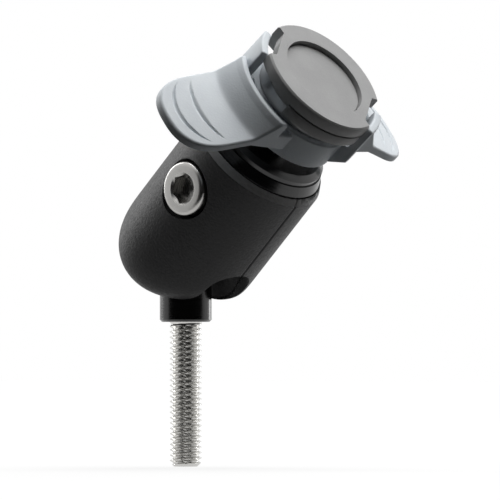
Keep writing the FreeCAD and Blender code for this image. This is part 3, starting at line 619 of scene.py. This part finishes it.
# --- screws ------------------------
@dataclass
class Screw:
    """A socket head screw turned about its own axis, with a real helical thread."""

    name: str
    node: str
    body: str
    place: Frame
    tip: float                         # heights along its axis, in millimetres
    thread_end: float
    shank_radius: float
    seat: float
    top: float
    head_radius: float
    socket_flats: float
    socket_depth: float
    thread_radius: float = 3.0
    pitch: float = 1.0
    head_bevel: float = 0.5
    tip_chamfer: float = 0.8
    countersink: float = 0.1     # how far the socket's mouth stands outside its corners
    floor_cone: float = 0.5            # depth of the cone that the drill leaves in the socket's floor
    runout_step: float = 0.05    # height between the thread's last row and the plain shank
    stations: int = 96                 # how many there are round the axis
    rows_per_pitch: int = 10
    bevel_chords: int = 5
    fold: float = 32.0                 # folds of more degrees than this stay crisp

    def outline(self, angles: np.ndarray) -> np.ndarray:
        """The screw's half outline at each angle, from the tip's centre to the socket floor's centre.

        Along the thread the radius is the crest radius less a trapezium wave of the height minus the turn,
        one pitch long; the crest is an eighth of a pitch wide and the root a quarter. Inside the socket the
        radius is that of a hexagon at that angle, under a 45-degree countersink.

        Args:
            angles: the stations in degrees.

        Returns:
            An array of (angles, points, 2) radii and heights.
        """
        turns = angles[:, None] / 360
        row_gap = self.pitch / self.rows_per_pitch
        threaded = np.arange(self.tip, self.thread_end + row_gap / 1e5, row_gap)
        phase = np.abs((threaded / self.pitch - turns + 0.5) % 1 - 0.5) * self.pitch
        depth = 0.6134 * self.pitch          # of a metric thread on a screw
        half_root, flank = self.pitch / 8, 5 / 16 * self.pitch
        wave = depth * (1 - np.clip((phase - half_root) / flank, 0, 1))
        runout = np.clip((self.thread_end - threaded) / self.pitch, 0, 1)
        above_tip = np.clip((threaded - self.tip) / self.tip_chamfer, 0, 1)
        radius = np.minimum(self.thread_radius - wave * runout,
                            self.thread_radius - self.tip_chamfer * (1 - above_tip))
        hexagon = self.socket_flats / 2 / np.cos(np.radians((angles % 60) - 30))
        mouth = self.socket_flats / math.sqrt(3) + self.countersink
        head = rounded([(self.shank_radius, self.seat), (self.head_radius, self.seat),
                        (self.head_radius, self.top), (mouth, self.top)],
                       self.head_bevel, self.bevel_chords)
        head = head[self.bevel_chords + 1:-self.bevel_chords - 1]        # the two outer corners' curves
        floor = self.top - self.socket_depth
        rows = [np.stack([np.full_like(angles, r), np.full_like(angles, z)], -1)
                for r, z in [(0.0, self.tip), (self.shank_radius, self.thread_end + self.runout_step),
                             (self.shank_radius, self.seat), *head, (mouth, self.top)]]
        rows += [np.stack([hexagon, self.top - (mouth - hexagon)], -1)]
        rows += [np.stack([(1 - share) * hexagon, np.full_like(angles, floor - share * self.floor_cone)], -1)
                 for share in (0, 0.5, 1)]
        rest = np.stack(rows, 1)
        spun = np.stack([radius, np.broadcast_to(threaded, radius.shape)], -1)
        return np.concatenate([rest[:, :1], spun, rest[:, 1:]], 1)

    def build(self, finish: bpy.types.Material) -> None:
        """Makes the screw in place of its CAD node.

        Args:
            finish: its material.
        """
        angles = np.linspace(0, 360, self.stations, endpoint=False)
        points = stand_round(self.outline(angles), angles)
        count = points.shape[1]
        faces = grid_faces(self.stations + 1, count) % (self.stations * count)
        mesh = to_mesh(self.name, Surface(points.reshape(-1, 3), faces.tolist()), self.place)
        piece = add_piece(self.name, mesh, self.body, finish, sharp=self.fold)
        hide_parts(self.node)


# --- lever ------------------------
@dataclass
class Lever:
    """The release lever: a sliding ring, two winged guards and two lugs, in the head's frame."""

    bore: float = 9.8
    ring_radius: float = 11.05
    top: float = 1.94
    bottom: float = -4.0
    rib: tuple[float, float, float] = (8.7, 1.8, 0.8)  # bore, upper and lower height
    half_width: float = 8.3
    tip_centre: float = 21.5
    tip_length: float = 9.3
    tip_power: float = 2.5
    wing_thickness: float = 1.7
    step: tuple[float, float] = (18.2, -0.3)  # radius and height where the wing starts
    wing_slope: float = -0.33
    under_slope: float = 0.08          # of the underside inside that radius
    guard: tuple[float, float, float, float] = (14.0, 15.2, 4.3, 1.2)   # inner, outer, top and floor
    guard_curve: float = 0.5           # rounding of the guard's top
    crown_depth: float = 0.75          # how much of the guard that rounding takes
    cone_drop: float = 0.4             # from the guard's top to its outer cone
    cone_blend: float = 0.45           # softens the fold from the cone to the wing
    floor_rows: tuple[float, ...] = (10.4, 12.5, 13.6)     # radii of the rows over the cavity floor
    wall_rows: tuple[float, ...] = (2.2, 3.2)  # heights of the rows up the inner wall
    past_step: float = 0.4             # rows stay round the axis this far past the step
    columns: int = 121
    slope_rows: int = 22
    tip_rows: int = 96
    edge: float = 0.5                  # rounding of the rim above and below
    under_edge: float = 0.4
    groove_depth: float = 0.42
    groove_width: float = 0.62         # half width at the middle of a groove
    groove_reach: float = 7.3          # half length across the wing
    groove_flank: float = 0.45         # width of its inner flank beside the outer one
    groove_shallow: float = 0.4        # half width under which a groove is shallower
    grooves: tuple[tuple[float, float], ...] = ((18.9, 9.3), (11.0, 13.2))   # centre and radius
    lug: tuple[float, float, float, float] = (12.1, 13.7, 8.2, -0.4)    # inner, outer, top and foot
    lug_half_angle: float = 16.0
    lug_directions: tuple[float, float] = (38.5, 229.5)
    lug_sink: float = 0.6              # how far a lug's foot stands inside the ring
    lug_drop: float = 0.1              # how far that foot ends under the ring's top
    lug_curve: float = 0.45
    lug_stations: int = 41
    ring_curve: float = 0.3
    thin: float = 0.01                 # shares below this are on the middle line or at a groove's point
    fold: float = 40.0                 # folds of more degrees than this stay crisp

    def height(self, x: np.ndarray, y: np.ndarray) -> np.ndarray:
        """Height of the wing's and guard's upper face, before its edges are rounded.

        It is the higher of the guard's steep cone and the wing's shallow one, blended over about 1 mm, less
        the crescent grooves: each is a hollow along an arc, widest at the middle and tapering to points.

        Args:
            x: place across the wing.
            y: place along the wing.

        Returns:
            Heights above the pivot.
        """
        radius = np.hypot(x, y)
        _, outer, top, _ = self.guard
        start, level = self.step
        steep = level + (radius - start) * (level - top + self.cone_drop) / (start - outer)
        shallow = level + (radius - start) * self.wing_slope
        surface = 0.5 * (steep + shallow + np.sqrt((steep - shallow) ** 2 + self.cone_blend ** 2))
        for centre, arc in self.grooves:
            wide = self.groove_width * np.clip(1 - (x / self.groove_reach) ** 2, 2 * self.thin, 1)
            off = (np.hypot(x, y - centre) - arc) / wide
            hollow = np.clip(1 - np.where(off > 0, off, off / self.groove_flank) ** 2, 0, 1)
            surface = surface - self.groove_depth * hollow * np.minimum(wide / self.groove_shallow, 1)
        return surface

    def rim_distance(self, x: np.ndarray, y: np.ndarray) -> np.ndarray:
        """Distance from the wing's outline: straight sides, then half a superellipse.

        Args:
            x: place across the wing.
            y: place along the wing.

        Returns:
            Distances along the line to the tip's centre, and the half width near the middle line.
        """
        beyond = np.clip(y - self.tip_centre, 0, None)
        power = self.tip_power
        share = (np.abs(x) / self.half_width) ** power + (beyond / self.tip_length) ** power
        share = share ** (1 / power)
        near_middle = share < self.thin
        share = np.clip(share, self.thin, 1)
        return np.where(near_middle, self.half_width, (1 - share) / share * np.hypot(x, beyond))

    def wing(self, side: int) -> Surface:
        """One guard with its wing, as an upper and a lower sheet joined round their rim.

        Rows run out from the ring: over the cavity floor, up the guard's inner wall, over its top and down
        its outer face on circles about the head's axis, then straight towards the wing's outline.

        Args:
            side: 1 for the wing along +Y, -1 for the other.

        Returns:
            The closed surface.
        """
        inner, outer, top, floor = self.guard
        # The first and last corners only lead into the crown's two curves, and are dropped again.
        crown = rounded([(inner, floor - 3), (inner, top), (outer, top), (outer + 3, top - 4.2)],
                        self.guard_curve, 5)
        crown = crown[(crown[:, 1] > top - self.crown_depth) & (crown[:, 0] < outer + self.guard_curve)]
        rows = np.vstack([[(radius, floor) for radius in (*self.floor_rows, inner)],
                          [(inner, height) for height in self.wall_rows], crown])
        slope = np.linspace(outer + self.guard_curve + 0.05, self.step[0] + self.past_step, self.slope_rows)
        across = np.sin(np.linspace(-1, 1, self.columns) * np.pi / 2)
        fan = np.concatenate([rows[:, 0], slope])[:, None]
        angle = across * np.arcsin(np.clip(self.half_width / fan, -1, 1))
        x, y = fan * np.sin(angle), fan * np.cos(angle)
        around = across * np.pi / 2
        outline_x = self.half_width * np.sign(around) * np.abs(np.sin(around)) ** (2 / self.tip_power)
        outline_y = self.tip_centre + self.tip_length * np.abs(np.cos(around)) ** (2 / self.tip_power)
        share = (1 - (1 - np.linspace(0, 1, self.tip_rows)[1:]) ** 2)[:, None]
        x = np.vstack([x, (1 - share) * x[-1] + share * outline_x])
        y = np.vstack([y, (1 - share) * y[-1] + share * outline_y])
        upper = self.height(x, y)
        upper[:len(rows)] = rows[:, 1:]
        distance = self.rim_distance(x, y)
        upper = upper - edge_drop(distance, self.edge)
        radius = np.hypot(x, y)
        start, level = self.step
        under = np.minimum(level - self.wing_thickness - self.under_slope * (start - radius),
                           level - self.wing_thickness + self.wing_slope * (radius - start))
        lower = under + edge_drop(distance, self.under_edge)
        count, width = x.shape
        sheets = np.stack([np.stack([side * x, side * y, z], -1) for z in (upper, lower)])
        sheet = grid_faces(count, width)
        number = np.arange(count * width).reshape(count, width)
        border = np.concatenate([number[0, :-1], number[:-1, -1], number[-1, :0:-1], number[:0:-1, 0]])
        other = border + count * width
        wall = np.stack([border, np.roll(border, -1), np.roll(other, -1), other], 1)
        faces = np.vstack([sheet, sheet[:, ::-1] + count * width, wall])
        return Surface(sheets.reshape(-1, 3), faces.tolist())

    def ring(self) -> Surface:
        """The sliding ring with the rib that its spring pushes on."""
        rib_bore, rib_top, rib_floor = self.rib
        outline = rounded([(self.bore, self.bottom), (self.ring_radius, self.bottom),
                           (self.ring_radius, self.top), (self.bore, self.top), (self.bore, rib_top),
                           (rib_bore, rib_top), (rib_bore, rib_floor), (self.bore, rib_floor)],
                          self.ring_curve)
        return sweep_round(outline)

    def lug_at(self, direction: float) -> Surface:
        """One lug, swept round the axis: near each end its outline shrinks by a quarter circle.

        Args:
            direction: degrees round the head's axis.

        Returns:
            The closed surface.
        """
        inner, outer, top, foot = self.lug
        base, base_top = self.ring_radius - self.lug_sink, self.top - self.lug_drop
        outline = rounded([(base, foot - (outer - base)), (outer, foot), (outer, top), (inner, top),
                           (inner, base_top), (base, base_top)], self.lug_curve)
        middle = outline.mean(0)
        reach = np.linalg.norm(outline - middle, axis=1)[:, None]
        fan = np.sin(np.linspace(-1, 1, self.lug_stations) * np.pi / 2)
        angles = direction + fan * self.lug_half_angle
        to_end = np.radians(self.lug_half_angle - np.abs(angles - direction)) * outer
        inset = edge_drop(to_end, self.lug_curve)[:, None, None]
        points = stand_round(middle + (outline - middle) * (1 - inset / reach), angles)
        stations, count = points.shape[:2]
        faces = grid_faces(stations, count, wrap=True).tolist()
        faces += [list(range(count)), list(range(stations * count - 1, (stations - 1) * count - 1, -1))]
        return Surface(points.reshape(-1, 3), faces)

    def build(self) -> None:
        """Makes the lever's ring, wings and lugs in place of its CAD node."""
        finish = GREY_NYLON.material(HEAD, "head")
        parts = {"lever_ring": self.ring(), "lever_wing_left": self.wing(-1),
                 "lever_wing_right": self.wing(1), "lever_lug_rear": self.lug_at(self.lug_directions[0]),
                 "lever_lug_front": self.lug_at(self.lug_directions[1])}
        for name, surface in parts.items():
            piece = add_piece(name, to_mesh(name, surface, HEAD), "release", finish,
                              sharp=self.fold)
            if name == "lever_ring":
                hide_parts("lever")


# --- pieces that keep their CAD shape ------------------------
@dataclass
class CadPieces:
    """The CAD nodes that stay as they are and get their finish, with fine bevels on the visible ones."""

    stand: dict[str, Finish] = field(default_factory=lambda: {"ball_collar": TURNED_BLACK})
    clamp: dict[str, Finish] = field(default_factory=lambda: {
        "clamp_washer": TURNED_BLACK, "clamp_nut": MACHINED_STAINLESS})
    arm: dict[str, Finish] = field(default_factory=lambda: {
        "locating_pins": STAINLESS, "opening_spring": SPRING_WIRE, "friction_washer": WHITE_ACETAL,
        "swivel_base": TURNED_GREY, "swivel_ring": TURNED_BLACK, "rim_seal": BLACK_RUBBER,
        "ball_stud": TURNED_BLACK})
    head: dict[str, Finish] = field(default_factory=lambda: {
        "socket_cup": TURNED_GREY, "socket_retainer": TURNED_BLACK, "ball_pad": WHITE_ACETAL,
        "pad_spring": SPRING_WIRE, "puck": DARK_NYLON, "puck_screws": STAINLESS, "centre_cap": DARK_NYLON,
        "return_spring": SPRING_WIRE})
    bevels: dict[str, float] = field(default_factory=lambda: {"puck": 0.16, "centre_cap": 0.08})
    bevel_fold: float = 35.0           # edges that fold by more degrees than this are bevelled
    bevel_weld: float = 1e-6           # metres: the node's loose triangles are joined within this

    def build(self) -> None:
        """Dresses every CAD node that keeps its shape, and bevels the two that show fine edges."""
        for suffix, place, finishes in (("stand", STAND, self.stand), ("clamp", CLAMP, self.clamp),
                                        ("arm", ARM, self.arm), ("head", HEAD, self.head)):
            made: dict[str, bpy.types.Material] = {}
            for node, finish in finishes.items():
                if finish.name not in made:
                    made[finish.name] = finish.material(place, suffix)
                piece = frame["nodes"][node]
                piece.data.materials.clear()
                piece.data.materials.append(made[finish.name])
                LOG.info("finish %s: %s", node, finish.name)
        for node, width in self.bevels.items():
            self.bevel(frame["nodes"][node], width)

    def bevel(self, piece: bpy.types.Object, width: float) -> None:
        """Adds a fine bevel to a node's folded edges.

        Args:
            piece: the node's object.
            width: the bevel's width in millimetres.
        """
        weld = piece.modifiers.new("weld", "WELD")
        weld.merge_threshold = self.bevel_weld
        bevel = piece.modifiers.new("bevel", "BEVEL")
        bevel.width = width * MM
        bevel.segments = 3
        bevel.limit_method = "ANGLE"
        bevel.angle_limit = math.radians(self.bevel_fold)
        bevel.harden_normals = True


# --- studio ------------------------
@dataclass
class Studio:
    """The camera, the lamps, the pale floor, the white surroundings and a dark card that gloss sees."""

    azimuth: float = 42.92
    elevation: float = -0.95
    distance: float = 1200.0
    aim: tuple[float, float] = (12.011, 0.135)  # right of and above the arm's ball
    lens: float = 462.3
    lit_middle: tuple[float, float, float] = (0.012, 0.0, 0.02)     # metres from the arm's ball
    lamp_distance: float = 0.6         # metres
    world_light: float = 0.04          # how bright the white surroundings are as light
    floor_gap: float = 0.2
    floor_half: float = 3.0            # metres
    floor_lift: tuple[float, float] = (1.0, 0.86)   # far from the object, and right under it
    floor_pool: float = 0.5            # metres over which the lift falls
    card_foot: float = 0.07            # metres in front of the ball
    card_half_width: float = 0.7
    card_lean: tuple[float, float] = (0.8, 0.9)     # how far its top is in front of its foot and above it

    def axes(self) -> tuple[Vector, Vector, Vector]:
        """Works out which way the camera stands.

        Returns:
            The camera's right, up and backward directions.
        """
        turn, tip = math.radians(self.azimuth), math.radians(self.elevation)
        back = Vector((math.sin(turn) * math.cos(tip), -math.cos(turn) * math.cos(tip), math.sin(tip)))
        right = Vector((math.cos(turn), math.sin(turn), 0))
        return right, back.cross(right), back

    def camera(self) -> None:
        """Adds the long-lens camera."""
        right, up, back = self.axes()
        across, above = self.aim
        data = bpy.data.cameras.new("camera")
        data.lens = self.lens
        data.sensor_width = 36
        data.clip_start, data.clip_end = 0.05, 20
        camera = put("camera", data)
        offset = (across * right + above * up + self.distance * back) * MM
        turn = Matrix((right, up, back)).transposed().to_4x4()
        camera.matrix_world = Matrix.Translation(ARM.origin + offset) @ turn
        bpy.context.scene.camera = camera

    def lamp(self, name: str, way: tuple[float, float, float], size: tuple[float, float],
             brightness: float) -> None:
        """Adds one soft box.

        Args:
            name: its name.
            way: where it stands from the object, as right, up and towards the camera.
            size: its width and height in metres.
            brightness: how bright the box itself looks, where 1 is white.
        """
        right, up, back = self.axes()
        toward = (way[0] * right + way[1] * up + way[2] * back).normalized()
        data = bpy.data.lights.new(name, "AREA")
        data.shape = "RECTANGLE"
        data.size, data.size_y = size
        data.energy = math.pi * size[0] * size[1] * brightness
        lamp = put(name, data)
        lamp.visible_camera = False
        place = ARM.origin + Vector(self.lit_middle) + self.lamp_distance * toward
        turn = toward.to_track_quat("Z", "Y").to_matrix().to_4x4()
        lamp.matrix_world = Matrix.Translation(place) @ turn

    def seen(self, tree: bpy.types.NodeTree) -> bpy.types.NodeSocket:
        """Adds the nodes that tell what is seen from what only lights.

        Args:
            tree: the node tree that they go into.

        Returns:
            A socket that is 1 for the camera, for reflections and through glass, and 0 for light.
        """
        path = add_node(tree, "ShaderNodeLightPath")
        direct = add_node(tree, "ShaderNodeMath", {
            0: path.outputs["Is Camera Ray"], 1: path.outputs["Is Transmission Ray"]}, operation="MAXIMUM")
        return add_node(tree, "ShaderNodeMath", {0: direct.outputs[0], 1: path.outputs["Is Glossy Ray"]},
                        operation="MAXIMUM").outputs[0]

    def world(self) -> None:
        """White to the camera and in reflections, dim as light on the object."""
        world = bpy.data.worlds.new("studio")
        bpy.context.scene.world = world
        world.use_nodes = True
        tree = world.node_tree
        tree.nodes.clear()
        seen = self.seen(tree)
        strength = add_node(tree, "ShaderNodeMapRange", {
            "Value": seen, "To Min": self.world_light, "To Max": 1.0})
        light = add_node(tree, "ShaderNodeBackground", {
            "Color": (1, 1, 1, 1), "Strength": strength.outputs[0]})
        add_node(tree, "ShaderNodeOutputWorld", {"Surface": light.outputs[0]})

    def floor(self) -> None:
        """A wide pale floor just under the stud, lifted to white for the camera but keeping the shadow."""
        low = CAD_BOX[0].z - self.floor_gap * MM
        half = self.floor_half
        mesh = bpy.data.meshes.new("floor")
        mesh.from_pydata([(-half, -half, low), (half, -half, low), (half, half, low), (-half, half, low)], [],
                         [(0, 1, 2, 3)])
        floor = put("floor", mesh)
        material = empty_material("pale_floor")
        tree = material.node_tree
        where = add_node(tree, "ShaderNodeTexCoord")
        shrink = 1 / self.floor_pool
        shrunk = add_node(tree, "ShaderNodeMapping", {
            "Vector": where.outputs["Object"], "Scale": (shrink, shrink, 0.0)})
        near = add_node(tree, "ShaderNodeTexGradient", {"Vector": shrunk.outputs[0]},
                        gradient_type="SPHERICAL")
        white = add_node(tree, "ShaderNodeMapRange", {
            "Value": near.outputs[1], "To Min": self.floor_lift[0], "To Max": self.floor_lift[1]})
        strength = add_node(tree, "ShaderNodeMath", {0: self.seen(tree), 1: white.outputs[0]},
                            operation="MULTIPLY")
        lift = add_node(tree, "ShaderNodeEmission", {
            "Color": (1, 1, 1, 1), "Strength": strength.outputs[0]})
        pale = add_node(tree, "ShaderNodeBsdfDiffuse", {"Color": linear("#5a5a5a")})
        both = add_node(tree, "ShaderNodeAddShader", {0: pale.outputs[0], 1: lift.outputs[0]})
        add_node(tree, "ShaderNodeOutputMaterial", {"Surface": both.outputs[0]})
        mesh.materials.append(material)

    def card(self) -> None:
        """A dark card in front, leaning back from the floor: what gloss sees there instead of the white."""
        right, _, back = self.axes()
        front = Vector((back.x, back.y, 0)).normalized()
        low = CAD_BOX[0].z
        foot = Vector((ARM.origin.x, ARM.origin.y, low)) + self.card_foot * front
        head = foot + self.card_lean[0] * front + Vector((0, 0, self.card_lean[1]))
        side = self.card_half_width * right
        mesh = bpy.data.meshes.new("dark_card")
        mesh.from_pydata([foot - side, foot + side, head + side, head - side], [], [(0, 1, 2, 3)])
        card = put("dark_card", mesh)
        card.visible_camera = False
        card.visible_shadow = False
        material = empty_material("black_felt")
        tree = material.node_tree
        felt = add_node(tree, "ShaderNodeBsdfDiffuse", {"Color": linear("#1a1a1a")})
        add_node(tree, "ShaderNodeOutputMaterial", {"Surface": felt.outputs[0]})
        mesh.materials.append(material)

    def build(self) -> None:
        """Clears Blender's own starting objects and sets up the whole studio."""
        starting = {"Cube", "Light", "Camera"}
        for left_over in [item for item in bpy.context.scene.objects if item.name in starting]:
            bpy.data.objects.remove(left_over)
        self.camera()
        self.world()
        self.floor()
        self.lamp("key_above", (0.25, 0.95, -0.15), (0.55, 0.55), 6.0)
        self.card()
        self.lamp("strip_left", (-0.8, 0.42, -0.65), (0.15, 0.5), 6.5)
        self.lamp("strip_right", (0.7, 0.1, -0.75), (0.15, 0.5), 4.0)
        bpy.context.scene.view_settings.view_transform = "Standard"


def main() -> None:
    """Builds the studio and every piece."""
    logging.basicConfig(level=logging.INFO, format="%(message)s")
    Studio().build()
    Arm().build()
    stud = Screw("stem_screw_threaded", "stem_screw", "stem", STAND, tip=-27.0, thread_end=0.0,
                 shank_radius=2.75, seat=13.0, top=17.0, head_radius=5.0, socket_flats=4.0, socket_depth=2.3)
    stud.build(STAINLESS.material(STAND, "stand"))
    head_top = (CLAMP.origin.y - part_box("clamp_screw")[0].y) / MM
    head, plain, whole = 6.0, 2.0, 26.0          # the clamp screw's head, its bare neck and its full length
    clamp = Screw("clamp_screw_threaded", "clamp_screw", "clamp", CLAMP, tip=head_top - whole,
                  thread_end=head_top - (head + plain), shank_radius=2.95, seat=head_top - head, top=head_top,
                  head_radius=5.0, socket_flats=5.0, socket_depth=3.0, thread_radius=2.95, head_bevel=0.8)
    clamp.build(MACHINED_STAINLESS.material(CLAMP, "clamp_screw"))
    Lever().build()
    CadPieces().build()


if __name__ == "__main__":
    main()
